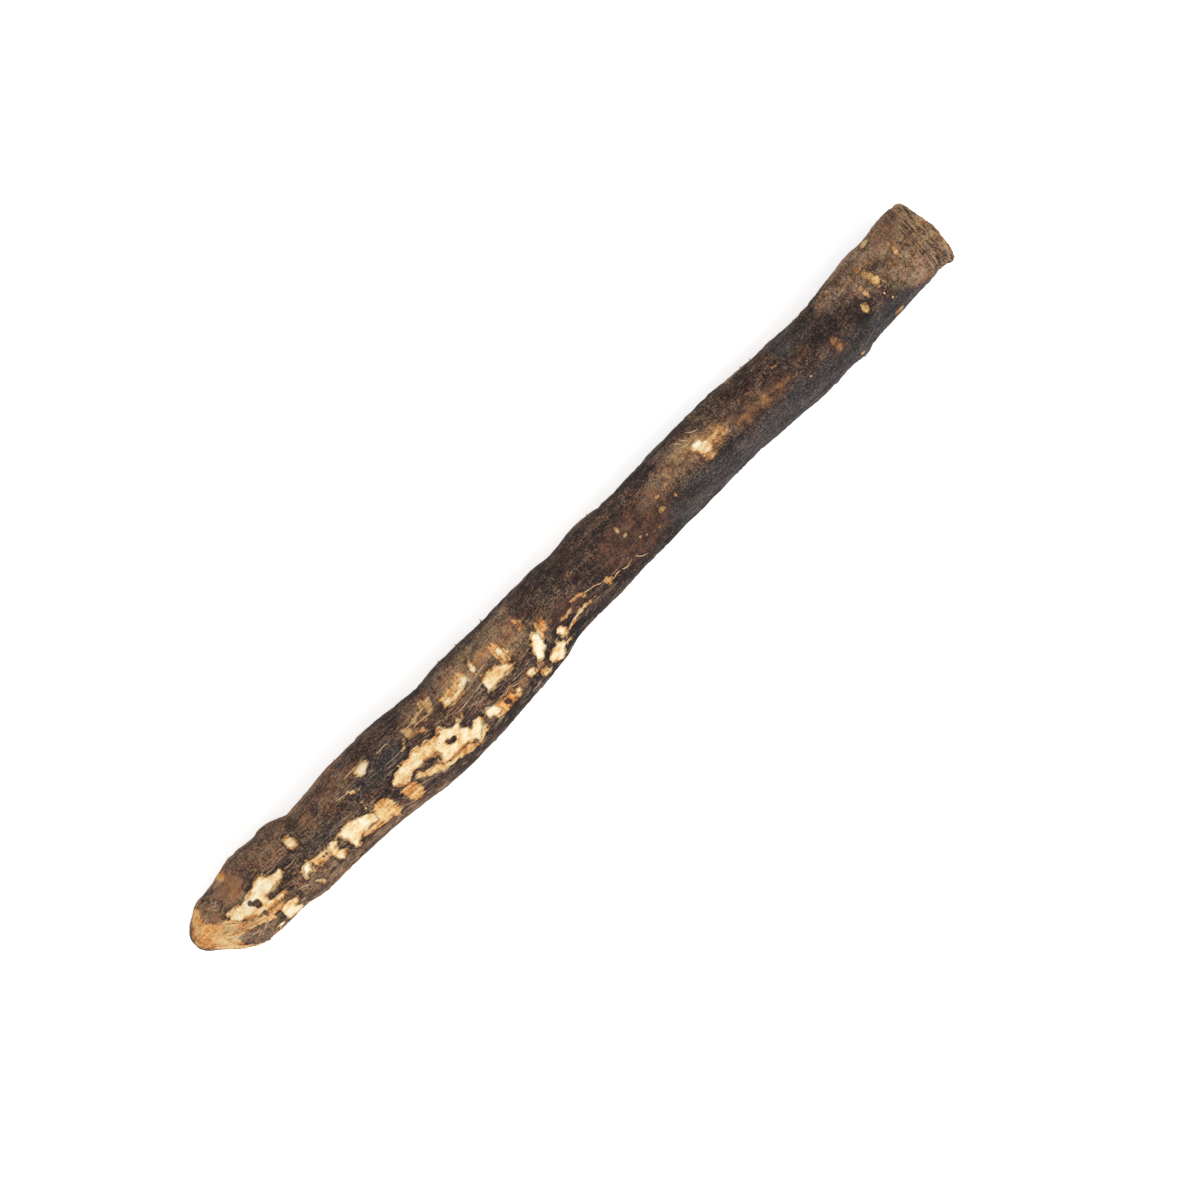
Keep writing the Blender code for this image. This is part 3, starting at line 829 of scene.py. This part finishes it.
def skin_material():
    """The root's skin and flesh. What differs from place to place is kept by the points of its mesh."""
    material, tree, shader = new_material("salsify_skin", {"Specular IOR Level": 0.22})
    place = stored(tree, "grown", "Vector")

    # The grains that everything on the skin is mixed from, and what its points keep
    mottle = grain(tree, place, (9.0, 5.0, 5.0), 3.0, 1.0)
    blotches = grain(tree, place, (2.8, 2.2, 2.2), 3.0, 11.0)
    streaks = grain(tree, place, (4.0, 0.6, 0.6), 3.0, 2.0, 0.6)
    specks = grain(tree, place, (0.7, 0.65, 0.65), 3.0, 3.0, 0.75)
    bands = grain(tree, place, (0.75, 3.5, 3.5), 3.0, 4.0)
    grit = grain(tree, place, (0.50, 0.45, 0.45), 1.0, 13.0)
    fibres = grain(tree, place, (3.0, 0.36, 0.36), 2.0, 14.0)
    rings = grain(tree, place, (0.5, 6.0, 6.0), 1.0, 15.0)
    painted_crease_shade = stored(tree, "painted_crease_shade")
    collar = stored(tree, "collar")
    threadbare = stored(tree, "threadbare")
    worn = stored(tree, "worn")
    tanned = stored(tree, "tanned")
    dusty = stored(tree, "dusty")
    fibrous = calc(tree, "MULTIPLY", mixture(tree, -1.1, (streaks, 0.8), (fibres, 1.4)), threadbare)

    # The sound skin: dark and fibrous, with soil dust, waxy places in a painted grey-blue sheen, and redder,
    # greener or bluer patches. Painted shade darkens it in the creases
    tone = mixture(
        tree, -2.07, (mottle, 1.05), (blotches, 0.7), (bands, 0.5), (specks, 1.35), (grit, 1.3),
        (painted_crease_shade, -0.25), (worn, 1.0), (fibrous, 1.3),
    )
    colour = shades(tree, tone, SKIN_SHADES)
    ringed = calc(tree, "MULTIPLY", mixture(tree, -1.1, (bands, 0.7), (rings, 1.5)), collar)
    dust_tone = mixture(
        tree, -1.90, (mottle, 0.95), (blotches, 0.7), (bands, 0.75), (specks, 1.2), (grit, 1.2),
        (painted_crease_shade, -0.15), (worn, 0.6), (ringed, 1.0),
    )
    dust = calc(tree, "MULTIPLY", dusty, ease(tree, mottle, 0.25, 0.5, 0.6, 0.95))
    colour = blend(tree, dust, colour, shades(tree, dust_tone, DUST_SHADES))
    # The waxy skin: painted grey-blue for its sheen, and glossier for real through its roughness below
    sheen_tone = mixture(
        tree, -1.70, (mottle, 0.6), (blotches, 0.5), (streaks, 0.6), (specks, 1.1), (grit, 1.6),
        (painted_crease_shade, -0.15),
    )
    wax_sheen = calc(tree, "MULTIPLY", stored(tree, "waxy_sheen"), ease(tree, mottle, 0.3, 0.55, 0.4, 0.9))
    colour = blend(tree, wax_sheen, colour, shades(tree, sheen_tone, SHEEN_SHADES))
    worn_to = mixture(tree, -1.55, (tanned, 1.1), (blotches, 1.3), (bands, 0.7), (specks, 0.7))
    tan_tone = mixture(tree, -1.80, (blotches, 1.2), (bands, 0.8), (specks, 0.9), (mottle, 0.9), (grit, 0.8))
    colour = blend(tree, ease(tree, worn_to, 0.2, 0.9, 0.0, 0.7), colour, shades(tree, tan_tone, TAN_SHADES))
    for sizes, seed, low, high, cast in (
        ((7.0, 3.6, 3.6), 21.0, 0.48, 0.64, REDDER),
        ((6.0, 4.0, 4.0), 22.0, 0.52, 0.66, GREENER),
        ((8.0, 5.0, 5.0), 23.0, 0.52, 0.66, BLUER),
    ):
        colour = tint(tree, ease(tree, grain(tree, place, sizes, 3.0, seed), low, high), colour, cast)
    colour = tint(tree, ease(tree, worn, 0.10, 0.34, 1.0, 0.0), colour, GREYER)

    # Fine pale threads that run along the skin, and tiny light dots
    line = calc(tree, "ABSOLUTE", mixture(tree, -0.5, (grain(tree, place, (13.0, 0.9, 0.9), 1.0, 6.0), 1.0)))
    gathered = ease(tree, grain(tree, place, (7.0, 2.4, 2.4), 2.0, 7.0), 0.50, 0.58)
    thread = calc(tree, "MULTIPLY", ease(tree, line, 0.012, 0.045, 1.0, 0.0), gathered)
    colour = blend(tree, calc(tree, "MULTIPLY", thread, threadbare), colour, THREAD)
    dots = ease(tree, grain(tree, place, (0.8, 0.7, 0.7), 1.0, 12.0), 0.74, 0.80, 0.0, 0.8)
    colour = blend(tree, dots, colour, DOT)

    # Scars of side roots, paler towards the middle, with a dark ring round them
    scar = mixture(tree, calc(tree, "ADD", stored(tree, "scar"), -0.55), (specks, 0.5), (blotches, 0.6))
    pale = stored(tree, "pale")
    scar_tone = mixture(
        tree, -1.62, (scar, 0.25), (pale, 0.55), (specks, 0.8), (blotches, 1.8), (streaks, 0.3), (grit, 0.6),
    )
    ring = ease(tree, calc(tree, "ABSOLUTE", calc(tree, "ADD", scar, 0.20)), 0.0, 0.32, 0.45, 0.0)
    ring = calc(tree, "MULTIPLY", ring, ease(tree, pale, 0.42, 0.60, 0.3, 1.0))
    colour = blend(tree, ring, colour, DARKEST)
    scar_mask = ease(tree, pale, 0.0, 0.7, 0.5, 1.0)
    scar_mask = calc(tree, "MULTIPLY", ease(tree, scar, -0.15, 0.45), scar_mask)
    colour = blend(tree, scar_mask, colour, shades(tree, scar_tone, SCAR_SHADES))

    # Where the outer skin is gone, with a soft edge in places, then the rim of the cut and rusty skin. The
    # skin is darkened beside bare flesh, partly its own darker edge and partly painted shadow at the patch's
    # lip, and where it is left standing inside a patch
    wander = mixture(tree, -1.0, (grain(tree, place, (1.0, 0.65, 0.65), 3.0, 5.0, 0.7), 1.3), (streaks, 0.7))
    bare = calc(tree, "ADD", stored(tree, "scraped"), wander)
    # A dark band on the skin along bare flesh: partly the skin's own darker edge, partly painted shadow
    beside = ease(tree, calc(tree, "ABSOLUTE", calc(tree, "ADD", bare, 0.50)), 0.05, 0.55, 0.65, 0.0)
    beside = calc(tree, "MULTIPLY", beside, mixture(tree, 1.0, (dusty, -0.7)))
    colour = blend(tree, beside, colour, DARKEST)
    margin = mixture(tree, -1.65, (grain(tree, place, (3.2, 2.0, 2.0), 2.0, 8.0), 3.4))
    thin = mixture(tree, stored(tree, "thin"), (wander, 1.2))
    thin = calc(tree, "MAXIMUM", thin, calc(tree, "ADD", bare, margin))
    brushed = mixture(tree, -1.6, (bands, 4.0), (streaks, -1.0))
    brushed = calc(tree, "MULTIPLY", brushed, stored(tree, "brushed"))
    edge = mixture(tree, thin, (streaks, 1.2), (bands, 0.8), (brushed, 1.0))
    softness = mixture(tree, ease(tree, mottle, 0.45, 0.65, 0.0, 0.5), (dusty, 0.3))
    edge_starts, edge_stops = calc(tree, "SUBTRACT", 0.88, softness), mixture(tree, 1.40, (softness, 0.4))
    thin_tone = mixture(
        tree, -2.02, (mottle, 0.8), (blotches, 1.4), (streaks, 0.9), (bands, 0.7), (specks, 0.8), (grit, 0.7),
        (thin, 0.06), (brushed, 0.25),
    )
    blushing = calc(tree, "MULTIPLY", tanned, ease(tree, mottle, 0.3, 0.52))
    thin_colour = tint(tree, blushing, shades(tree, thin_tone, THIN_SHADES), BLUSH)
    colour = blend(tree, ease(tree, edge, edge_starts, edge_stops), colour, thin_colour)
    rim = mixture(tree, -1.65, (stored(tree, "rim"), 1.0), (bands, 1.4), (blotches, 1.1))
    rim_colour = shades(tree, calc(tree, "ADD", tan_tone, 0.08), TAN_SHADES)
    colour = blend(tree, ease(tree, rim, 0.20, 0.85, 0.0, 0.8), colour, rim_colour)
    rust = ease(tree, mixture(tree, 0.0, (blotches, 1.0), (specks, 1.0)), 0.94, 1.22, 0.16, 0.66)
    colour = blend(tree, calc(tree, "MULTIPLY", rust, stored(tree, "rusty")), colour, RUST)
    left_dark = ease(tree, stored(tree, "left_dark"), -0.3, 0.3, 0.0, 0.6)
    colour = blend(tree, left_dark, colour, DARKEST)

    # The flesh, paler further in from its edge, with small stained pricks
    inside = ease(tree, mixture(tree, bare, (margin, -0.4)), -0.1, 1.1)
    flesh_tone = mixture(
        tree, -2.20, (inside, 0.40), (blotches, 1.6), (mottle, 1.4), (specks, 0.8), (streaks, 0.5),
        (grit, 0.5), (stored(tree, "golden"), -0.34),
    )
    flesh = shades(tree, flesh_tone, FLESH_SHADES)
    pricks = ease(tree, grain(tree, place, (0.9, 0.9, 0.9), 1.0, 9.0), 0.73, 0.78)
    flesh = blend(tree, pricks, flesh, STAIN)
    bare_mask = ease(tree, bare, -0.06, 0.10)
    colour = blend(tree, bare_mask, colour, flesh)
    tree.links.new(colour, shader.inputs["Base Color"])

    dry = blend(tree, wax_sheen, (0.78, 0.78, 0.78, 1.0), (0.50, 0.50, 0.50, 1.0))
    moist = blend(tree, bare_mask, dry, (0.58, 0.58, 0.58, 1.0))
    tree.links.new(moist, shader.inputs["Roughness"])

    # The finest relief, in millimetres
    band_height = calc(tree, "ADD", calc(tree, "MULTIPLY", collar, 0.25), 0.15)
    height = mixture(
        tree, 0.0, (streaks, 0.25), (specks, 0.40), (blotches, 0.3), (thread, 0.10), (grit, 0.12),
        (fibrous, 0.2), (bands, band_height), (ringed, 0.35),
    )
    height = calc(tree, "MULTIPLY", height, ease(tree, bare, 0.0, 0.3, 1.0, 0.4))
    height = mixture(tree, height, (bare_mask, -0.12))
    bump = put(tree, "ShaderNodeBump", {"Height": height, "Distance": MM, "Strength": 1.0})
    tree.links.new(bump.outputs[0], shader.inputs["Normal"])
    return material


# The cut across the crown: dry and brown, with a darker ring under the skin and rays out from the core
CUT_SHADES = palette((0.10, 104, 68, 44), (0.40, 170, 124, 80), (0.65, 208, 170, 120), (0.95, 238, 212, 166))
CUT_RING = 0.60
CUT_FACE_FROM = 299.0
CUT_FACE_TURN = 0.75


def cut_material():
    """The face that the knife left, with the skin's brown round its edge."""
    material, tree, shader = new_material("crown_cut", {"Specular IOR Level": 0.2, "Roughness": 0.85})
    place = stored(tree, "straight", "Vector")
    out = stored(tree, "out_from_core")
    ray = put(tree, "ShaderNodeVectorMath", {0: place, 1: (0.0, 1.0, 1.0)}, operation="MULTIPLY").outputs[0]
    ray = put(tree, "ShaderNodeVectorMath", {0: ray}, operation="NORMALIZE").outputs[0]
    rays = grain(tree, ray, (1.0, 0.09, 0.09), 3.0, 1.0)
    blotches = grain(tree, place, (3.0, 3.0, 3.0), 4.0, 2.0)
    specks = grain(tree, place, (0.5, 0.5, 0.5), 3.0, 3.0)
    saw = grain(tree, place, (3.0, 0.5, 6.0), 3.0, 4.0)
    ring = calc(tree, "ABSOLUTE", mixture(tree, -CUT_RING, (out, 1.0), (blotches, 0.1)))
    ring = ease(tree, ring, 0.0, 0.07, 1.0, 0.0)
    core = ease(tree, out, 0.08, 0.24, 1.0, 0.0)
    tone = mixture(
        tree, -1.05, (rays, 1.0), (blotches, 1.1), (specks, 0.8), (saw, 0.4), (ring, -0.22), (core, 0.10),
    )
    colour = shades(tree, tone, CUT_SHADES)
    colour = blend(tree, ease(tree, out, 0.90, 0.97), colour, SKIN_SHADES[1][1])
    tree.links.new(colour, shader.inputs["Base Color"])
    height = mixture(tree, 0.0, (rays, 0.3), (specks, 0.3), (saw, 0.3), (ring, -0.15))
    bump = put(tree, "ShaderNodeBump", {"Height": height, "Distance": MM, "Strength": 1.0})
    tree.links.new(bump.outputs[0], shader.inputs["Normal"])
    return material


def new_piece(name, mesh, *materials):
    """A finished object at the origin, made of the given materials."""
    mesh.name = name
    mesh.materials.clear()
    for material in materials:
        mesh.materials.append(material)
    return new_object(name, mesh)


root = new_piece("whole_root", root_mesh, skin_material(), cut_material())
root_mesh.shade_smooth()
for face in root_mesh.polygons:
    at_cut = face.center.x > (CUT_FACE_FROM - ALONG_AT_ORIGIN) * MM
    face.material_index = int(at_cut and face.normal.x > CUT_FACE_TURN)
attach(root, "root")
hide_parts("salsify_root")


# The threads
# Fine pale fibres of torn skin, as thin as sewing thread. They lie along the root, half sunk in the skin that
# they grew with, some that the view shows and loose ones on its right flank and underside.
THREAD_RADIUS = 0.13
THREAD_STEP = 0.8
THREAD_RISE = 0.35
THREAD_WANDER = 0.07
THREAD_END = 0.35
THREADS = (
    ((1, -6), (7, -9.5), (14, -12.4), (20, -14.2)),
    ((5, -8), (12, -11), (20, -13.3), (27, -13.4)),
    ((3.4, -3.4), (6, -5.6), (9.4, -8.2), (13, -10.4)),
    ((25, -3.7), (28, -4.1), (30.4, -3.8)),
    ((31, -6.3), (33, -6.7), (35.4, -6.4)),
    ((56.4, -2.2), (58.4, -2.4), (60.2, -2.9)),
    ((62.4, 0.9), (64, 1.2), (66, 0.9)),
    ((74.4, -0.2), (77, 0.1), (79, 0)),
    ((84.3, -0.5), (86.4, -0.9), (88.6, -0.6), (92, -0.2), (94.4, 0)),
    ((87.6, -2.2), (90.4, -1.9), (93.6, -2.3), (95.4, -2)),
    ((85.6, -3.1), (87.6, -2.8), (89, -3)),
    ((93, -5.6), (97, -6.1), (100.6, -5.6), (104.2, -4.9), (109.4, -4.4), (113.2, -3.2), (116, -2.6)),
    ((95.4, -6.9), (98, -6.4), (101.4, -7.8), (106, -7.2), (110.6, -6.4), (113, -5.8)),
    ((105.6, -12.8), (109.2, -13.4), (112.8, -13.4), (116, -12.4), (119.4, -12.7), (122, -13.7)),
    ((203.8, 6.9), (204.4, 5.6), (205.6, 4.7)),
    ((200.4, 7.4), (202.4, 6.2), (204, 4.6)),
    ((206.4, 7.2), (207.8, 5.8), (210.4, 5)),
    ((202, 4.6), (204.6, 3.8), (206.6, 4)),
)
BOLD_THREADS = (
    ((113, -12.9), (114.6, -13.4), (116.6, -12.6), (118.6, -13.3), (122, -13.8)),
    ((141.6, -12.3), (145, -11.1), (150.6, -10.4)),
    ((152, -7.4), (153.6, -7.8), (155.4, -7.9), (158.2, -9)),
    ((160.4, -10.2), (161.8, -10.6), (163.4, -9.9), (164.6, -10.1)),
    ((165.4, -10.3), (167.4, -10.6), (169.6, -9.9)),
    ((170.8, -10), (172.4, -11.2), (174.4, -11.7)),
)
BOLDNESS = 1.7
LOOSE_THREADS = 40

surface = BVHTree.FromPolygons(
    [vert.co for vert in root_mesh.vertices], [tuple(face.vertices) for face in root_mesh.polygons]
)


def on_surface(place_along, place_round):
    """The point of the finished root at an unrolled place, and the direction out of it there."""
    (middle,), (half,) = section_at([place_along])
    turn = place_round / girth_at([place_along])[0]
    out = Vector((0.0, math.sin(turn) * half[0], math.cos(turn) * half[1])) * MM
    centre = Vector(((place_along - ALONG_AT_ORIGIN), middle[0], middle[1])) * MM
    spot, normal, _, _ = surface.ray_cast(centre + out * 1.5, -out.normalized())
    return (spot, normal) if spot is not None else (centre + out, out.normalized())


def follow(run, step):
    """Places at even steps on a smooth line through a few unrolled places."""
    run = np.array(run, float)
    reach = np.concatenate(([0.0], np.cumsum(np.linalg.norm(np.diff(run, axis=0), axis=1))))
    marks = np.linspace(0.0, reach[-1], max(int(reach[-1] / step), 3) + 1)
    return np.column_stack([np.interp(marks, reach, run[:, 0]), np.interp(marks, reach, run[:, 1])])


def in_box(spot, room=0.0):
    """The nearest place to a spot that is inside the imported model's box, with some room kept to its sides."""
    lowest, highest = cad_box
    return Vector(min(max(spot[i], lowest[i] + room), highest[i] - room) for i in range(3))


def strand_mesh(strands, radius):
    """Thin round strands through rows of points, each as (row, thickness at its root, thickness at its end).

    One that is as thick at its end as at its root tapers both ways from its middle.
    """
    line = bpy.data.curves.new("draft", "CURVE")
    line.dimensions = "3D"
    line.bevel_depth = radius * MM
    line.bevel_resolution = 1
    line.use_fill_caps = True
    for row, root_share, end_share in strands:
        spline = line.splines.new("POLY")
        spline.points.add(len(row) - 1)
        for number, spot in enumerate(row):
            share = number / (len(row) - 1)
            spline.points[number].co = (*spot, 1.0)
            spline.points[number].radius = root_share + (end_share - root_share) * share
            if root_share == end_share:
                taper = THREAD_END + (1 - THREAD_END) * math.sin(math.pi * share) ** 0.5
                spline.points[number].radius *= taper
    mesh = finished(new_object("draft", line))
    for vert in mesh.vertices:
        vert.co = in_box(vert.co)
    mesh.shade_smooth()
    return mesh


def thread_row(run):
    """The points of a thread that lies on the skin along a run of unrolled places."""
    row = []
    for place_along, place_round in follow(run, THREAD_STEP):
        spot, out = on_surface(place_along, place_round + THREAD_WANDER * math.sin(place_along * 2.1))
        row.append(in_box(spot + out * THREAD_RADIUS * THREAD_RISE * MM, THREAD_RADIUS * MM))
    return row


thread_rows = [(thread_row(unroll(run)), 1.0, 1.0) for run in THREADS]
thread_rows += [(thread_row(unroll(run)), BOLDNESS, BOLDNESS) for run in BOLD_THREADS]
for _ in range(LOOSE_THREADS):
    start_along, start_round = dice.uniform(2.0, 190.0) * dice.random() ** 0.3, dice.uniform(-54.0, -3.0)
    length, drift = dice.uniform(3.0, 11.0), dice.uniform(-0.5, 0.5)
    run = [
        (start_along + length * share, start_round + drift * share + dice.uniform(-0.12, 0.12))
        for share in (0, 0.35, 0.7, 1)
    ]
    thickness = dice.uniform(0.30, 0.55)
    thread_rows.append((thread_row(run), thickness, thickness))


def frame_grain(tree, *parts):
    """Grain in a material by places in the frame, from parts as (sizes in metres, detail, seed, weight)."""
    place = put(tree, "ShaderNodeTexCoord", {}).outputs["Object"]
    grains = [(grain(tree, place, sizes, detail, seed), weight) for sizes, detail, seed, weight in parts]
    return mixture(tree, 0.0, *grains)


def two_tone(name, finish, parts, low, high, dark, light):
    """A material for small pieces, dark where its grain is under low and light where it is over high."""
    material, tree, shader = new_material(name, finish)
    colour = blend(tree, ease(tree, frame_grain(tree, *parts), low, high), paint(*dark), paint(*light))
    tree.links.new(colour, shader.inputs["Base Color"])
    return material


thread_material = two_tone(
    "torn_fibre", {"Specular IOR Level": 0.3, "Roughness": 0.7},
    [((0.004, 0.002, 0.002), 3.0, 1.0, 1.0)], 0.38, 0.62, (176, 132, 92), (236, 204, 162),
)
threads = new_piece("torn_fibres", strand_mesh(thread_rows, THREAD_RADIUS), thread_material)
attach(threads, "root")


# The hair roots
# Short stubs of broken hair roots, brown and brittle. Each stands in the skin that it grew from, on top, on
# the flanks or on the underside, and bends and thins towards its end.
STUB_RADIUS = 0.22
STUB_COUNT = 26
STUB_DEPTH = 0.1
STUB_BEND = 0.35
STUB_END = 0.3
STUBS = ((64, 7.3), (107, 7.3), (261.4, -12.9), (31, 6.6), (232, 9.6))

stub_rows = []
stub_places = [unroll([place])[0] for place in STUBS]
stub_places += [(dice.uniform(6.0, 290.0), dice.uniform(-36.0, 36.0)) for _ in range(STUB_COUNT)]
for place_along, place_round in stub_places:
    spot, out = on_surface(place_along, place_round)
    lean = Vector((dice.uniform(-0.9, 0.4), dice.uniform(-0.5, 0.5), dice.uniform(-0.2, 0.3)))
    heading = (out + lean).normalized()
    length = dice.uniform(0.4, 1.3) * MM
    bend = Vector((dice.uniform(-1, 1), dice.uniform(-1, 1), dice.uniform(-0.6, 0.4))) * STUB_BEND * length
    foot = spot - out * STUB_DEPTH * MM
    row = [
        in_box(foot + heading * length * share + bend * share * share, 0.05 * MM)
        for share in (0, 0.25, 0.5, 0.75, 1)
    ]
    stub_rows.append((row, 1.0, STUB_END))

stub_material = two_tone(
    "hair_root", {"Specular IOR Level": 0.25, "Roughness": 0.8},
    [((0.003, 0.001, 0.001), 3.0, 1.0, 1.0)], 0.4, 0.6, (60, 42, 34), (128, 92, 64),
)
stubs = new_piece("hair_roots", strand_mesh(stub_rows, STUB_RADIUS), stub_material)
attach(stubs, "root")


# The flakes
# Scales of dead outer skin, thin and curled, in the same dark browns as the skin. They lie beside the scraped
# patches, and each still holds to the root by its lowest part.
FLAKE_COUNT = 60
FLAKE_THICKNESS = 0.10
FLAKE_CORNERS = 9
FLAKE_DEPTH = 0.03
FLAKE_LOW_LINE = -0.3

edge_points = np.flatnonzero((scraped > -0.9) & (scraped < -0.1) & (along < 200.0))
bm = bmesh.new()
for _ in range(FLAKE_COUNT):
    chosen = int(edge_points[dice.randrange(len(edge_points))])
    spot = Vector(points[chosen]) * MM
    out = Vector(outward[chosen])
    lengthwise = Vector((1.0, dice.uniform(-0.4, 0.4), dice.uniform(-0.4, 0.4))).cross(out).normalized()
    crosswise = out.cross(lengthwise)
    length, breadth, curl = dice.uniform(0.5, 1.3), dice.uniform(0.35, 0.8), dice.uniform(0.05, 0.35)
    made = bmesh.ops.create_circle(bm, segments=FLAKE_CORNERS, radius=1.0, cap_ends=True)["verts"]
    for vert in made:
        vert.co *= dice.uniform(0.7, 1.15)
    face = made[0].link_faces[0]
    raised = bmesh.ops.extrude_face_region(bm, geom=[face], use_keep_orig=True)["geom"]
    top = [part for part in raised if isinstance(part, bmesh.types.BMVert)]
    for vert in made + top:
        x, y = vert.co.x * breadth, vert.co.y * length
        thickness = FLAKE_THICKNESS if vert in top else 0.0
        z = curl * (x / breadth - FLAKE_LOW_LINE) ** 2 + thickness - FLAKE_DEPTH
        vert.co = in_box(spot + (lengthwise * y + crosswise * x + out * z) * MM)
bmesh.ops.recalc_face_normals(bm, faces=bm.faces)

# Extruding leaves points and faces in an order that varies, so they are put in order along a slanting line
slanting = Vector((1.0, 0.7, 0.4))
bm.verts.sort(key=lambda vert: vert.co.dot(slanting))
bm.faces.sort(key=lambda face: face.calc_center_median().dot(slanting))

flake_material, tree, shader = new_material("dead_skin", {"Specular IOR Level": 0.2, "Roughness": 0.8})
tone = frame_grain(tree, ((0.002, 0.0006, 0.0006), 3.0, 1.0, 0.7), ((0.02, 0.02, 0.02), 1.0, 2.0, 0.6))
tree.links.new(shades(tree, tone, SKIN_SHADES), shader.inputs["Base Color"])
flakes = new_piece("skin_flakes", mesh_from(bm, "skin_flakes"), flake_material)
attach(flakes, "root")


# The crumbs
# Grains of dry soil from the ground that the root was lifted from. Each is pressed into the skin, and most
# are where it is dusty. None stick to the bare flesh or the cut.
CRUMB_COUNT = 170
CRUMB_RISE = 0.35

bm = bmesh.new()
crumb_chance = np.where((scraped > -1.2) | (along > CUT_FACE_FROM), 0.0, 0.25 + dusty)
for chosen in dice.choices(range(len(points)), weights=crumb_chance.tolist(), k=CRUMB_COUNT):
    size = dice.uniform(0.10, 0.26) * MM
    for vert in bmesh.ops.create_icosphere(bm, subdivisions=1, radius=size)["verts"]:
        uneven = vert.co * dice.uniform(0.7, 1.2)
        vert.co = in_box(uneven + Vector(points[chosen]) * MM + Vector(outward[chosen]) * size * CRUMB_RISE)

soil_material = two_tone(
    "dry_soil", {"Specular IOR Level": 0.15, "Roughness": 0.95},
    [((0.0004, 0.0004, 0.0004), 3.0, 1.0, 0.5), ((0.009, 0.009, 0.009), 1.0, 2.0, 1.0)], 0.62, 0.88,
    (48, 37, 32), (134, 108, 82),
)
crumbs = new_piece("soil_crumbs", mesh_from(bm, "soil_crumbs"), soil_material)
crumbs.data.shade_smooth()
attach(crumbs, "root")
